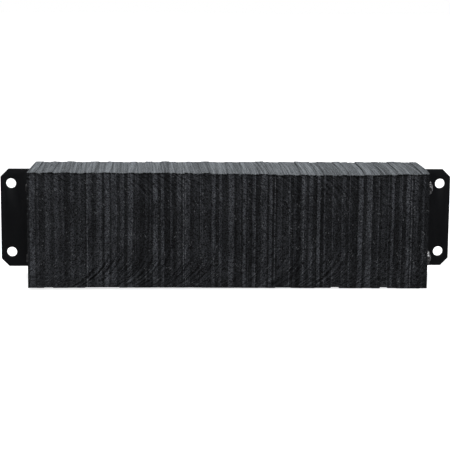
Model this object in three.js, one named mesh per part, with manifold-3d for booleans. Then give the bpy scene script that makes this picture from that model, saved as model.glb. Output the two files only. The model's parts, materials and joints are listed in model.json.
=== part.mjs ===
// Laminated rubber bumper block for a loading dock wall: a stack of upright rubber pads on two tie rods,
// squeezed between two steel angles whose outer legs bolt to the wall.
//
// Frame: X runs along the stack, the wall is the plane Y = 0 with the block in front of it at negative Y,
// and Z is up. The origin lies on the wall plane, halfway along the block and halfway up it.

import * as THREE from 'three';
import { mergeVertices } from 'three/addons/utils/BufferGeometryUtils.js';
import Module from 'manifold-3d';

// Rubber block, mm
const blockLength = 914;
const blockHeight = 266;
const blockDepth = 152;
const padCount = 49; // odd, so that one pad spans the middle
const padGap = 0.3;
const padThicknessSpread = 5; // thickest pad less thinnest pad
const padTopSpread = 2; // how far the trimmed top edges differ

// Steel angles, mm
const angleThickness = 6.35;
const wallLeg = 84; // reach of the bolted leg beyond the block
const sideLeg = 102; // depth of the leg that the rods pass through
const filletRadius = 6;
const toeRadius = 3;
const cornerCut = 19; // 45 degree cut on the outer corners of the bolted leg
const seatGap = 0.3; // between pads, angles, nuts and welds that touch

// Holes and tie rods, mm
const rowSpacing = 167; // upper to lower row, shared by the wall bolts and the rods
const rowDrop = 1; // how far the middle of the two rows lies below the block's middle
const endDistance = 35; // hole row to the end of the angle
const edgeDistance = 25.4; // wall bolt hole to the outer edge
const boltHoleDiameter = 23.8;
const rodDiameter = 19.05;
const rodFromWall = 64;
const rodHoleClearance = 0.8; // radial, in pads and angles
const rodChamfer = 1.2;
const rodStub = 8; // past the left angle, at the welded end
const rodPastNut = 2.5;
const weldLegLength = 6.5;
const nutAcrossFlats = 28.6;
const nutHeight = 16.3;
const nutBoreClearance = 0.3; // radial
const nutCornerBreak = 1.4;

// Facets round a full turn
const padHoleFacets = 12;
const roundFacets = 24;

// Sizes that follow from the ones above
const rodRadius = rodDiameter / 2;
const angleLength = rowSpacing + 2 * endDistance;
const angleInner = blockLength / 2 + seatGap;
const angleOuter = angleInner + angleThickness;
const rowHeights = { upper: rowSpacing / 2, lower: -rowSpacing / 2 };
const goldenTurn = (Math.sqrt(5) - 1) / 2;

const padRubber = new THREE.MeshStandardMaterial({ color: 0x232426, roughness: 0.9, metalness: 0 });
const blackPaint = new THREE.MeshStandardMaterial({ color: 0x121213, roughness: 0.45, metalness: 0.1 });
const rodSteel = new THREE.MeshStandardMaterial({ color: 0x3a3a3c, roughness: 0.4, metalness: 0.9 });
const weldMetal = new THREE.MeshStandardMaterial({ color: 0x1b1b1c, roughness: 0.5, metalness: 0.4 });

const manifold = await Module();
manifold.setup();

/** A closed three.js geometry as a solid that can be cut. */
function toSolid(geometry) {
  const bare = geometry.clone();
  bare.deleteAttribute('normal');
  bare.deleteAttribute('uv');
  const merged = mergeVertices(bare, 1e-4);
  return new manifold.Manifold(new manifold.Mesh({
    numProp: 3,
    vertProperties: new Float32Array(merged.attributes.position.array),
    triVerts: new Uint32Array(merged.index.array),
  }));
}

/** A solid back as a three.js geometry with flat facets. */
function toGeometry(solid) {
  const mesh = solid.getMesh();
  const geometry = new THREE.BufferGeometry();
  geometry.setAttribute('position', new THREE.BufferAttribute(new Float32Array(mesh.vertProperties), 3));
  geometry.setIndex(new THREE.BufferAttribute(new Uint32Array(mesh.triVerts), 1));
  geometry.computeVertexNormals();
  return geometry;
}

function named(name, geometry, material) {
  const mesh = new THREE.Mesh(geometry, material);
  mesh.name = name;
  return mesh;
}

/** A number from 0 to 1 that wanders evenly from one index to the next. */
function wander(index, turn) {
  return (index * turn) % 1;
}

/** Radius of a polygon whose flats, rather than its corners, clear a circle of the given radius. */
function outsideRadius(radius, facets) {
  return radius / Math.cos(Math.PI / facets);
}

/** A round hole of given centre and radius, as a closed path for a shape. */
function roundHole(x, y, radius, facets) {
  const path = new THREE.Path();
  for (let step = 0; step <= facets; step += 1) {
    const angle = (-2 * Math.PI * step) / facets;
    const px = x + radius * Math.cos(angle);
    const py = y + radius * Math.sin(angle);
    if (step === 0) path.moveTo(px, py);
    else path.lineTo(px, py);
  }
  return path;
}

/** A straight round bar between two places along X, for cutting. */
function barAlongX(radius, from, to, facets) {
  const bar = new THREE.CylinderGeometry(radius, radius, to - from, facets);
  bar.rotateZ(-Math.PI / 2);
  bar.translate((from + to) / 2, 0, 0);
  return bar;
}

/** Turns a profile of radius against place along X into a closed round body. */
function turned(profile, facets) {
  const points = profile.map(([radius, x]) => new THREE.Vector2(radius, x));
  const geometry = new THREE.LatheGeometry(points, facets);
  geometry.rotateZ(-Math.PI / 2);
  return geometry;
}

/** Thickness of each pad along the stack; with their gaps they add up to the block's length. */
function padThicknesses() {
  const rubber = blockLength - (padCount - 1) * padGap;
  const offsets = Array.from({ length: padCount }, (_, i) => wander(i + 1, goldenTurn) - 0.5);
  const drift = offsets.reduce((sum, offset) => sum + offset, 0) / padCount;
  return offsets.map((offset) => rubber / padCount + padThicknessSpread * (offset - drift));
}

/** One punched pad, with its low X face at X = 0. */
function padGeometry(thickness, trim) {
  const outline = new THREE.Shape();
  outline.moveTo(-blockDepth, -blockHeight / 2);
  outline.lineTo(0, -blockHeight / 2);
  outline.lineTo(0, blockHeight / 2 - trim);
  outline.lineTo(-blockDepth, blockHeight / 2 - trim);
  outline.closePath();
  const holeRadius = outsideRadius(rodRadius + rodHoleClearance, padHoleFacets);
  for (const height of Object.values(rowHeights)) {
    outline.holes.push(roundHole(-rodFromWall, height - rowDrop, holeRadius, padHoleFacets));
  }
  const geometry = new THREE.ExtrudeGeometry(outline, { depth: thickness, bevelEnabled: false });
  const toStack = new THREE.Matrix4().makeBasis(
    new THREE.Vector3(0, 1, 0),
    new THREE.Vector3(0, 0, 1),
    new THREE.Vector3(1, 0, 0),
  );
  return geometry.applyMatrix4(toStack);
}

function padStack() {
  const stack = new THREE.Group();
  let place = -blockLength / 2;
  padThicknesses().forEach((thickness, index) => {
    const trim = padTopSpread * wander(index + 1, Math.SQRT2);
    const number = String(index + 1).padStart(2, '0');
    const pad = named(`pad_${number}`, padGeometry(thickness, trim), padRubber);
    pad.position.x = place;
    stack.add(pad);
    place += thickness + padGap;
  });
  return stack;
}

/** The rolled angle's section: X away from the block, Y towards the wall. */
function angleSection() {
  const tip = blockLength / 2 + wallLeg;
  const section = new THREE.Shape();
  section.moveTo(angleInner, 0);
  section.lineTo(angleInner, -sideLeg);
  section.lineTo(angleOuter - toeRadius, -sideLeg);
  section.absarc(angleOuter - toeRadius, toeRadius - sideLeg, toeRadius, -Math.PI / 2, 0, false);
  const rootX = angleOuter + filletRadius;
  const rootY = -angleThickness - filletRadius;
  section.lineTo(angleOuter, rootY);
  section.absarc(rootX, rootY, filletRadius, Math.PI, Math.PI / 2, true);
  section.lineTo(tip - toeRadius, -angleThickness);
  section.absarc(tip - toeRadius, toeRadius - angleThickness, toeRadius, -Math.PI / 2, 0, false);
  section.lineTo(tip, 0);
  section.closePath();
  return section;
}

/** A triangular bar through the bolted leg that takes off its upper outer corner. */
function cornerWedge() {
  const past = 1;
  const tip = blockLength / 2 + wallLeg;
  const end = angleLength / 2;
  const reach = cornerCut + past;
  const corner = new THREE.Shape();
  corner.moveTo(tip + past, end - reach);
  corner.lineTo(tip + past, end + past);
  corner.lineTo(tip - reach, end + past);
  corner.closePath();
  const run = angleThickness + 2 * past;
  const wedge = new THREE.ExtrudeGeometry(corner, { depth: run, bevelEnabled: false });
  wedge.rotateX(Math.PI / 2);
  wedge.translate(0, past, 0);
  return wedge;
}

/** The angle on the high X side, middle of its hole rows at Z = 0. */
function angleGeometry() {
  const blank = new THREE.ExtrudeGeometry(angleSection(), {
    depth: angleLength,
    bevelEnabled: false,
    curveSegments: 4,
  });
  blank.translate(0, 0, -angleLength / 2);
  let angle = toSolid(blank);
  const wedge = toSolid(cornerWedge());
  angle = angle.subtract(wedge).subtract(wedge.mirror([0, 0, 1]));
  const boltX = blockLength / 2 + wallLeg - edgeDistance;
  const rodHoleRadius = outsideRadius(rodRadius + rodHoleClearance, roundFacets);
  for (const height of Object.values(rowHeights)) {
    const boltHole = new THREE.CylinderGeometry(
      boltHoleDiameter / 2,
      boltHoleDiameter / 2,
      3 * angleThickness,
      roundFacets,
    );
    boltHole.translate(boltX, 0, height);
    const rodHole = barAlongX(rodHoleRadius, angleInner - 1, angleOuter + 1, roundFacets);
    rodHole.translate(0, -rodFromWall, height);
    angle = angle.subtract(toSolid(boltHole)).subtract(toSolid(rodHole));
  }
  return toGeometry(angle);
}

function angles() {
  const pair = new THREE.Group();
  const geometry = angleGeometry();
  const right = named('angle_right', geometry, blackPaint);
  const left = named('angle_left', geometry, blackPaint);
  left.rotation.y = Math.PI;
  pair.add(left, right);
  return pair;
}

/** A tie rod along X on its own axis, welded end at low X and nut end at high X. */
function rodGeometry() {
  const start = -angleOuter - rodStub;
  const end = angleOuter + seatGap + nutHeight + rodPastNut;
  return turned([
    [0, start],
    [rodRadius - rodChamfer, start],
    [rodRadius, start + rodChamfer],
    [rodRadius, end - rodChamfer],
    [rodRadius - rodChamfer, end],
    [0, end],
  ], roundFacets);
}

/** The fillet weld round a rod, on the outer face of the left angle. */
function weldGeometry() {
  const face = -angleOuter - seatGap;
  const inner = outsideRadius(rodRadius + seatGap, roundFacets);
  return turned([
    [inner, face],
    [inner, face - weldLegLength],
    [inner + weldLegLength * 0.25, face - weldLegLength],
    [inner + weldLegLength * 0.75, face - weldLegLength * 0.6],
    [inner + weldLegLength, face],
    [inner, face],
  ], roundFacets);
}

/** A hexagon nut on the outer face of the right angle, with its corners broken at both ends. */
function nutGeometry() {
  const cornerRadius = outsideRadius(nutAcrossFlats / 2, 6);
  const face = angleOuter + seatGap;
  const hexagon = barAlongX(cornerRadius, face, face + nutHeight, 6);
  const flat = nutAcrossFlats / 2;
  const round = turned([
    [0, face],
    [flat, face],
    [flat + 2 * nutCornerBreak, face + nutCornerBreak],
    [flat + 2 * nutCornerBreak, face + nutHeight - nutCornerBreak],
    [flat, face + nutHeight],
    [0, face + nutHeight],
  ], 2 * roundFacets);
  const boreRadius = outsideRadius(rodRadius + nutBoreClearance, roundFacets);
  const bore = barAlongX(boreRadius, face - 1, face + nutHeight + 1, roundFacets);
  return toGeometry(toSolid(hexagon).intersect(toSolid(round)).subtract(toSolid(bore)));
}

/** One rod with its weld and nut, on a row of holes. */
function tieRod(row, height) {
  const assembly = new THREE.Group();
  assembly.add(named(`tie_rod_${row}`, rodGeometry(), rodSteel));
  assembly.add(named(`weld_${row}`, weldGeometry(), weldMetal));
  assembly.add(named(`nut_${row}`, nutGeometry(), rodSteel));
  assembly.position.set(0, -rodFromWall, height);
  return assembly;
}

/** Angles and rods, centred on the two rows of holes. */
function steelFrame() {
  const frame = new THREE.Group();
  frame.add(angles());
  for (const [row, height] of Object.entries(rowHeights)) {
    frame.add(tieRod(row, height));
  }
  frame.position.z = -rowDrop;
  return frame;
}

const bumper = new THREE.Group();
bumper.add(padStack(), steelFrame());

export default bumper;
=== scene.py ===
"""A laminated rubber bumper: upright pads threaded on two tie rods, squeezed between two steel angles.

X runs along the stack of pads, Y points into the wall that the bumper hangs on, and Z is up. Sizes are in
metres.
"""

import json
import logging
import math
import random
from collections.abc import Callable, Iterable, Mapping, Sequence
from dataclasses import dataclass, field
from enum import Enum
from typing import NamedTuple, Optional, Union

import bmesh
import bpy
from mathutils import Euler, Matrix, Vector, noise
from mathutils.geometry import tessellate_polygon


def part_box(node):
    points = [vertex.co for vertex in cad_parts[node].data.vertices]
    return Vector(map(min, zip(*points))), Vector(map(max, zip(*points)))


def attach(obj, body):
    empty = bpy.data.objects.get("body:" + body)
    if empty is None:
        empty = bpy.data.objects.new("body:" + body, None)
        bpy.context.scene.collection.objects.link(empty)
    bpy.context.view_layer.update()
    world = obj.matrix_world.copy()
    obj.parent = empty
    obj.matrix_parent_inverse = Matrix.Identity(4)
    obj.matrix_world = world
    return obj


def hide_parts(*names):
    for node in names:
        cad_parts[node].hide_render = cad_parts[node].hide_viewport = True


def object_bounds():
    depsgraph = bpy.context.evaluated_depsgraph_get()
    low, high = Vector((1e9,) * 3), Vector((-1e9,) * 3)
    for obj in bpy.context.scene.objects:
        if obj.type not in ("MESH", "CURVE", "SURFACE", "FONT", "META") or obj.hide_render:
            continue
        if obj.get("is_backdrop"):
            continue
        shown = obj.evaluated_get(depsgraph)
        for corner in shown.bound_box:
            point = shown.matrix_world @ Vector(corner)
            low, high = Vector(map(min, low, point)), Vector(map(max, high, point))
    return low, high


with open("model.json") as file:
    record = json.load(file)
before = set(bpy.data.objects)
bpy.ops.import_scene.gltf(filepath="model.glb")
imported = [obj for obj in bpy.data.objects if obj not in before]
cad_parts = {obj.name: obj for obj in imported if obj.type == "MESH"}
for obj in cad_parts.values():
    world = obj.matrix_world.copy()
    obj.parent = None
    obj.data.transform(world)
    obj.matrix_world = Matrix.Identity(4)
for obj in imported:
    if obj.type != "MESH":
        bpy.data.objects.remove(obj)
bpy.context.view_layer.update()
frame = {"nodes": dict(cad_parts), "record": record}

log = logging.getLogger("bumper")

Colour = tuple[float, float, float]
Point = tuple[float, float, float]
Pair = tuple[float, float]
Feed = Union["Wire", bpy.types.NodeSocket, float, Sequence[float]]

MM = 0.001
QUARTER = math.pi / 2
FULL_TURN = 2 * math.pi
ROOT_BODY = "root"
NUT_TURNS = {"upper": 20.0, "lower": 14.0}


# ---------------------------------------------------------------- shader expressions


@dataclass(frozen=True)
class Wire:
    """One output socket of a shader, used as a number in Python expressions."""

    graph: "Graph"
    socket: bpy.types.NodeSocket

    def __add__(self, other: Feed) -> "Wire":
        """This value plus another."""
        return self.graph.maths("ADD", self, other)

    def __radd__(self, other: Feed) -> "Wire":
        """Another value plus this one."""
        return self.graph.maths("ADD", other, self)

    def __sub__(self, other: Feed) -> "Wire":
        """This value less another."""
        return self.graph.maths("SUBTRACT", self, other)

    def __rsub__(self, other: Feed) -> "Wire":
        """Another value less this one."""
        return self.graph.maths("SUBTRACT", other, self)

    def __mul__(self, other: Feed) -> "Wire":
        """This value times another."""
        return self.graph.maths("MULTIPLY", self, other)

    def __rmul__(self, other: Feed) -> "Wire":
        """Another value times this one."""
        return self.graph.maths("MULTIPLY", other, self)

    def __truediv__(self, other: Feed) -> "Wire":
        """This value divided by another."""
        return self.graph.maths("DIVIDE", self, other)

    def __pow__(self, other: Feed) -> "Wire":
        """This value raised to a power."""
        return self.graph.maths("POWER", self, other)

    def least(self, other: Feed) -> "Wire":
        """The smaller of this value and another."""
        return self.graph.maths("MINIMUM", self, other)

    def most(self, other: Feed) -> "Wire":
        """The larger of this value and another."""
        return self.graph.maths("MAXIMUM", self, other)

    def size(self) -> "Wire":
        """This value without its sign."""
        return self.graph.maths("ABSOLUTE", self)

    def rise(self, low: float, high: float) -> "Wire":
        """A straight climb from 0 where this value is low to 1 where it is high, held at both ends.

        Args:
            low: The value that gives 0.
            high: The value that gives 1; it may be below low.

        Returns:
            The climb, from 0 to 1.
        """
        return ((self - low) / (high - low)).most(0.0).least(1.0)


class Graph:
    """The node tree of one material or of the surroundings, while it is being written."""

    def __init__(self, tree: bpy.types.NodeTree) -> None:
        """Start from an empty tree.

        Args:
            tree: The tree to fill.
        """
        self.tree = tree
        tree.nodes.clear()

    def node(
        self,
        kind: str,
        settings: Mapping[str, object],
        sockets: Mapping[Union[str, int], Feed],
    ) -> bpy.types.Node:
        """Make a node.

        Args:
            kind: The node's type.
            settings: Its own properties, set before its sockets.
            sockets: Values or links, by socket name or number.

        Returns:
            The node.
        """
        made = self.tree.nodes.new(kind)
        for name, value in settings.items():
            setattr(made, name, value)
        for name, value in sockets.items():
            self._feed(made.inputs[name], value)
        return made

    def wire(
        self,
        kind: str,
        settings: Mapping[str, object],
        sockets: Mapping[Union[str, int], Feed],
        output: Union[str, int] = 0,
    ) -> Wire:
        """Make a node and take one of its outputs.

        Args:
            kind: The node's type.
            settings: Its own properties.
            sockets: Values or links, by socket name or number.
            output: The output's name or number.

        Returns:
            The output, ready for expressions.
        """
        return Wire(self, self.node(kind, settings, sockets).outputs[output])

    def maths(self, operation: str, *operands: Feed) -> Wire:
        """The result of one Math node on these operands."""
        return self.wire("ShaderNodeMath", {"operation": operation}, dict(enumerate(operands)))

    def place(self) -> Wire:
        """The point being shaded, in the object's own frame."""
        return self.wire("ShaderNodeTexCoord", {}, {}, "Object")

    def facing(self) -> Wire:
        """The surface's outward direction at the point being shaded."""
        return self.wire("ShaderNodeNewGeometry", {}, {}, "Normal")

    def kept(self, name: str) -> Wire:
        """A vector that the mesh keeps at its vertices."""
        return self.wire("ShaderNodeAttribute", {"attribute_name": name}, {}, "Vector")

    def parts(self, vector: Feed) -> tuple[Wire, Wire, Wire]:
        """Split a vector.

        Args:
            vector: What to split.

        Returns:
            Its X, Y and Z.
        """
        split = self.node("ShaderNodeSeparateXYZ", {}, {0: vector})
        return Wire(self, split.outputs[0]), Wire(self, split.outputs[1]), Wire(self, split.outputs[2])

    def joined(self, x: Feed, y: Feed, z: Feed) -> Wire:
        """A vector made of three values."""
        return self.wire("ShaderNodeCombineXYZ", {}, {0: x, 1: y, 2: z})

    def cloud(self, vector: Feed, scale: float, detail: float = 2.0, rough: float = 0.5) -> Wire:
        """Soft noise in space.

        Args:
            vector: Where it is read.
            scale: Lumps to the metre.
            detail: How many finer layers it has.
            rough: How strong the finer layers are.

        Returns:
            The noise, from 0 to 1 around a half.
        """
        return self.wire(
            "ShaderNodeTexNoise",
            {"noise_dimensions": "3D"},
            {"Vector": vector, "Scale": scale, "Detail": detail, "Roughness": rough},
        )

    def lines(self, along: Feed, scale: float, detail: float = 2.0) -> Wire:
        """Noise that changes along one value only, which draws parallel lines.

        Args:
            along: The value that it follows.
            scale: Lines to the metre.
            detail: How many finer layers it has.

        Returns:
            The noise, from 0 to 1 around a half.
        """
        return self.wire(
            "ShaderNodeTexNoise",
            {"noise_dimensions": "1D"},
            {"W": along, "Scale": scale, "Detail": detail, "Roughness": 0.6},
        )

    def dots(self, vector: Feed, scale: float, radius: float) -> Wire:
        """Separate small round spots.

        Args:
            vector: Where they are read.
            scale: Cells to the metre, one spot in each.
            radius: A spot's radius as a share of a cell.

        Returns:
            1 at each spot's middle, falling to 0 at its edge.
        """
        away = self.wire(
            "ShaderNodeTexVoronoi",
            {"feature": "F1"},
            {"Vector": vector, "Scale": scale, "Randomness": 1.0},
            "Distance",
        )
        return away.rise(radius, 0.0)

    def blend(self, factor: Feed, first: Feed, second: Feed) -> Wire:
        """A colour between two others.

        Args:
            factor: 0 for the first, 1 for the second.
            first: A colour.
            second: Another colour.

        Returns:
            The blended colour.
        """
        return self.wire(
            "ShaderNodeMix",
            {"data_type": "RGBA"},
            {0: factor, 6: first, 7: second},
            2,
        )

    def shaded(self, colour: Feed, factor: Feed) -> Wire:
        """A colour with each of its channels times a value."""
        settings = {"operation": "SCALE"}
        return self.wire("ShaderNodeVectorMath", settings, {0: colour, "Scale": factor})

    def bump(self, height: Feed, depth: float) -> Wire:
        """A surface direction bent by a height.

        Args:
            height: The height, around 0 to 1.
            depth: What a height of 1 measures, in metres.

        Returns:
            The bent direction.
        """
        return self.wire("ShaderNodeBump", {}, {"Strength": 1.0, "Distance": depth, "Height": height})

    def coat(self, sockets: Mapping[Union[str, int], Feed]) -> None:
        """Finish the tree with a Principled surface.

        Args:
            sockets: The surface's values or links.
        """
        surface = self.node("ShaderNodeBsdfPrincipled", {}, sockets)
        self.node("ShaderNodeOutputMaterial", {}, {"Surface": surface.outputs[0]})

    def _feed(self, socket: bpy.types.NodeSocket, value: Feed) -> None:
        """Link or set one input socket."""
        if isinstance(value, Wire):
            value = value.socket
        if isinstance(value, bpy.types.NodeSocket):
            self.tree.links.new(value, socket)
        elif socket.type == "RGBA" and len(value) == 3:
            socket.default_value = (*value, 1.0)
        else:
            socket.default_value = value


def new_material(name: str) -> tuple[bpy.types.Material, Graph]:
    """Make an empty node material.

    Args:
        name: The material's name.

    Returns:
        The material and its graph.
    """
    material = bpy.data.materials.new(name)
    material.use_nodes = True
    return material, Graph(material.node_tree)


# ---------------------------------------------------------------- finishes


@dataclass(frozen=True)
class Mottle:
    """A soft noise, as it comes or climbing from 0 to 1 between two of its values."""

    scale: float
    detail: float = 0.0
    rough: float = 0.5
    climb: Optional[Pair] = None

    def read(self, graph: Graph, vector: Feed) -> Wire:
        """The mottle at a point, from 0 to 1."""
        noisy = graph.cloud(vector, self.scale, self.detail, self.rough)
        return noisy.rise(*self.climb) if self.climb else noisy


@dataclass(frozen=True)
class Spot:
    """The point being shaded: its place as one vector and as three values."""

    place: Wire
    x: Wire
    y: Wire
    z: Wire


@dataclass(frozen=True)
class SawMarks:
    """What a round blade leaves on a sawn face: curved lines, and a few deep scores with a raised side."""

    blade_radius: float = 0.145
    bites: Pair = (-0.18, 0.2)
    bite_reach: float = 0.14
    arc_scale: float = 120.0
    arc_detail: float = 3.0
    arc_climb: Pair = (0.38, 0.64)
    arc_middle: float = 0.45
    faint: float = 0.25
    low_gain: float = 1.25
    low_climb: Pair = (-0.03, -0.09)
    high_gain: float = 0.7
    high_climb: Pair = (0.04, 0.11)
    broken: Mottle = Mottle(11.0, climb=(0.1, 0.5))
    score_scale: float = 74.0
    score_detail: float = 1.0
    score_width: float = 0.055
    ridge_width: float = 0.045
    ridge_offset: float = 0.1
    score_run: Mottle = Mottle(13.0, climb=(0.42, 0.54))
    score_stretch: Pair = (4.5, 0.8)
    score_climb: Pair = (-0.045, -0.09)
    score_middle: float = -0.2
    score_reach: Pair = (0.26, 0.1)
    score_least: float = 0.45

    def sweep(self, spot: Spot) -> Wire:
        """Distance across the blade's arcs."""
        bulge = (self.blade_radius**2 - spot.z * spot.z).most(0.0) ** 0.5
        return spot.x - bulge

    def arcs(self, graph: Graph, spot: Spot, sweep: Wire) -> Wire:
        """The curved lines, strongest near the bites and towards the upper and lower edges.

        Args:
            graph: The rubber's graph.
            spot: The point being shaded.
            sweep: Distance across the blade's arcs.

        Returns:
            The lines, around 0.
        """
        drawn = graph.lines(sweep, self.arc_scale, self.arc_detail)
        lines = drawn.rise(*self.arc_climb) - self.arc_middle
        near = [(spot.x - bite).size().rise(self.bite_reach, self.bite_reach / 2) for bite in self.bites]
        where = near[0].most(near[1]) * self.broken.read(graph, spot.place)
        low = self.low_gain * spot.z.rise(*self.low_climb)
        high = self.high_gain * spot.z.rise(*self.high_climb)
        return lines * (self.faint + where * (low + high))

    def scores(self, graph: Graph, spot: Spot, sweep: Wire) -> tuple[Wire, Wire]:
        """The deep scores towards the lower edge, each long and thin.

        Args:
            graph: The rubber's graph.
            spot: The point being shaded.
            sweep: Distance across the blade's arcs.

        Returns:
            The scores, 1 in the middle of one, and the rubber raised along one side of each.
        """
        across = graph.lines(sweep, self.score_scale, self.score_detail) - 0.5
        wide, tall = self.score_stretch
        runs = self.score_run.read(graph, graph.joined(sweep * wide, spot.y, spot.z * tall))
        beside = (spot.x - self.score_middle).size().rise(*self.score_reach)
        side = self.score_least + (1.0 - self.score_least) * beside
        where = runs * spot.z.rise(*self.score_climb) * side
        score = across.size().rise(self.score_width, 0.0)
        ridge = (across - self.ridge_offset).size().rise(self.ridge_width, 0.0)
        return score * where, ridge * where


@dataclass(frozen=True)
class FabricBands:
    """The fabric across each pad: its edges wander and it fades in and out with height."""

    stray: float = 5.0 * MM
    wander: Mottle = Mottle(12.0, 2.0)
    fading: Mottle = Mottle(14.0, 1.0, climb=(0.36, 0.64))
    fading_stretch: float = 7.0
    blurs: tuple[tuple[str, float], ...] = (("ply", 1.8 * MM), ("thread", 0.9 * MM))
    least: float = 0.5
    most: float = 0.65
    middle: float = 0.86
    high_gain: float = 0.34
    high_climb: Pair = (0.02, 0.12)
    low_loss: float = 0.25
    low_climb: Pair = (-0.05, -0.11)

    def read(self, graph: Graph, spot: Spot) -> tuple[Wire, Wire]:
        """Find the bands at a point.

        Args:
            graph: The rubber's graph.
            spot: The point being shaded.

        Returns:
            The fabric's strength, from 0 upwards, and that of the narrow band alone.
        """
        astray = (self.wander.read(graph, spot.place) - 0.5) * self.stray
        stretched = graph.joined(spot.x * self.fading_stretch, spot.y, spot.z)
        fading = self.fading.read(graph, stretched)
        found = []
        for name, blur in self.blurs:
            from_start, to_end, tone = graph.parts(graph.kept(name))
            starts = (from_start + astray).rise(-blur / 2, blur / 2)
            ends = (to_end - astray).rise(-blur / 2, blur / 2)
            found.append(starts * ends * tone)
        upper = self.high_gain * spot.z.rise(*self.high_climb)
        lower = self.low_loss * spot.z.rise(*self.low_climb)
        strength = (self.least + self.most * fading) * (self.middle + upper - lower)
        return found[0].most(found[1]) * strength, found[1]


@dataclass(frozen=True)
class Grain:
    """The rubber's own texture: crumbs of two sizes, slow patches, small pits and light flecks."""

    coarse: Mottle = Mottle(450.0, climb=(0.42, 0.6))
    coarse_stretch: Pair = (1.25, 0.75)
    fine: Mottle = Mottle(590.0, climb=(0.42, 0.6))
    patches: Mottle = Mottle(16.0, 1.0)
    pit_cells: Pair = (150.0, 0.32)
    pit_groups: Mottle = Mottle(45.0, 2.0, climb=(0.48, 0.6))
    fleck_cells: Pair = (190.0, 0.3)
    fleck_groups: Mottle = Mottle(60.0, 2.0, climb=(0.52, 0.62))
    thread_cells: Pair = (210.0, 0.45)
    thread_climb: Pair = (1.1, 1.5)

    def swept(self, graph: Graph, spot: Spot, sweep: Wire) -> Wire:
        """The point in the blade's own frame, drawn out along its arcs."""
        wide, tall = self.coarse_stretch
        return graph.joined(sweep * wide, spot.y, spot.z * tall)

    def pits(self, graph: Graph, spot: Spot) -> Wire:
        """Small dark pits, in groups."""
        groups = self.pit_groups.read(graph, graph.joined(spot.y, spot.z, spot.x))
        return graph.dots(spot.place, *self.pit_cells) * groups

    def flecks(self, graph: Graph, spot: Spot, swept: Wire, thread: Wire) -> Wire:
        """Light flecks: some strewn about, and more along the palest narrow bands.

        Args:
            graph: The rubber's graph.
            spot: The point being shaded.
            swept: The point in the blade's own frame.
            thread: The narrow band's strength.

        Returns:
            The flecks, from 0 to 1.
        """
        strewn = graph.dots(swept, *self.fleck_cells) * self.fleck_groups.read(graph, spot.place)
        return strewn.most(graph.dots(spot.place, *self.thread_cells) * thread.rise(*self.thread_climb))


class Texture(NamedTuple):
    """What the rubber's faces share at a point."""

    coarse: Wire
    fine: Wire
    patch: Wire
    pits: Wire
    band: Wire
    level: Wire
    tint: Wire


class Marks(NamedTuple):
    """What the tools left at a point: saw lines, deep scores with raised sides, and the top's rake."""

    arcs: Wire
    scored: Wire
    raised: Wire
    rake: Wire


@dataclass(frozen=True)
class SawnLight:
    """How light the sawn faces are: crumbs, patches, pits, wear towards the edges, and saw marks, with
    painted shade in the deep scores and a painted highlight on their raised sides.
    """

    floor: float = 0.08
    coarse: float = 0.86
    fine: float = 1.08
    patch_least: float = 0.6
    patch_gain: float = 0.8
    pit_dark: float = 0.8
    wear: float = 0.98
    wear_high: float = 0.14
    wear_low: float = 0.28
    wear_climb: Pair = (0.03, 0.11)
    least: float = 0.1
    # painted shade in the deep scores and painted highlight on their raised sides
    score_shade: float = 0.85
    ridge_highlight: float = 0.9

    def read(self, found: Texture, marks: Marks, z: Wire) -> Wire:
        """Work out the light at a point.

        Args:
            found: The rubber's texture.
            marks: The tools' marks.
            z: Height.

        Returns:
            The factor for the colour.
        """
        near, far = self.wear_climb
        crumbs = self.floor + found.coarse * self.coarse + found.fine * self.fine
        patched = self.patch_least + found.patch * self.patch_gain
        worn = self.wear + self.wear_high * z.rise(near, far) + self.wear_low * z.rise(-near, -far)
        lit = (crumbs * patched * (1.0 - found.pits * self.pit_dark) * worn + marks.arcs).most(self.least)
        # painted shade in each deep score, painted highlight along its raised side
        return lit * (1.0 - marks.scored * self.score_shade + marks.raised * self.ridge_highlight)


@dataclass(frozen=True)
class DustAndTopLight:
    """The trimmed top: dust on straight marks that run nearly square to the wall, its colour also painted
    lighter to stand in for the light that falls on it from above.
    """

    # the top's dust colour, painted lighter as well for the light that falls on it from above
    dust_and_top_light: Colour = (0.133, 0.144, 0.155)
    scale: float = 210.0
    detail: float = 4.0
    slant: float = 0.06
    climb: Pair = (0.34, 0.68)
    rake: float = 0.8
    coarse: float = 0.35
    fine: float = 0.9
    band: float = 0.3
    patch: float = 0.4
    tint: float = 0.35
    even: float = 0.04
    least: float = 0.2

    def marks(self, graph: Graph, spot: Spot) -> Wire:
        """The straight marks, from 0 to 1."""
        return graph.lines(spot.x + spot.y * self.slant, self.scale, self.detail).rise(*self.climb)

    def colour(self, graph: Graph, found: Texture, rake: Wire) -> Wire:
        """Lay the dust, painted lighter as well for the light from above.

        Args:
            graph: The rubber's graph.
            found: The rubber's texture.
            rake: The straight marks.

        Returns:
            The colour.
        """
        crumbs = self.coarse * found.coarse + self.fine * found.fine
        marked = self.rake * rake + crumbs + self.band * found.band
        settled = marked + self.patch * (found.patch - 0.5) - self.tint * found.tint + self.even
        return graph.shaded(self.dust_and_top_light, settled.most(self.least))


@dataclass(frozen=True)
class UncutSide:
    """The uncut faces of the pads: plain rubber with dust rubbed into it."""

    rubbed: Mottle = Mottle(34.0, 5.0, 0.7, (0.5, 0.78))
    cover: float = 0.22
    even: float = 0.45
    fine: float = 0.5
    patch: float = 0.6

    def colour(self, graph: Graph, found: Texture, place: Wire, rubber: Colour, dust_and_top_light: Colour) -> Wire:
        """Mix the side's colour.

        Args:
            graph: The rubber's graph.
            found: The rubber's texture.
            place: The point being shaded.
            rubber: The rubber's own colour.
            dust_and_top_light: The top's colour: dust, painted lighter as well for the light from above.

        Returns:
            The colour.
        """
        dull = graph.shaded(rubber, self.even + found.fine * self.fine + found.patch * self.patch)
        return graph.blend(self.rubbed.read(graph, place) * self.cover, dull, dust_and_top_light)


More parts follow.
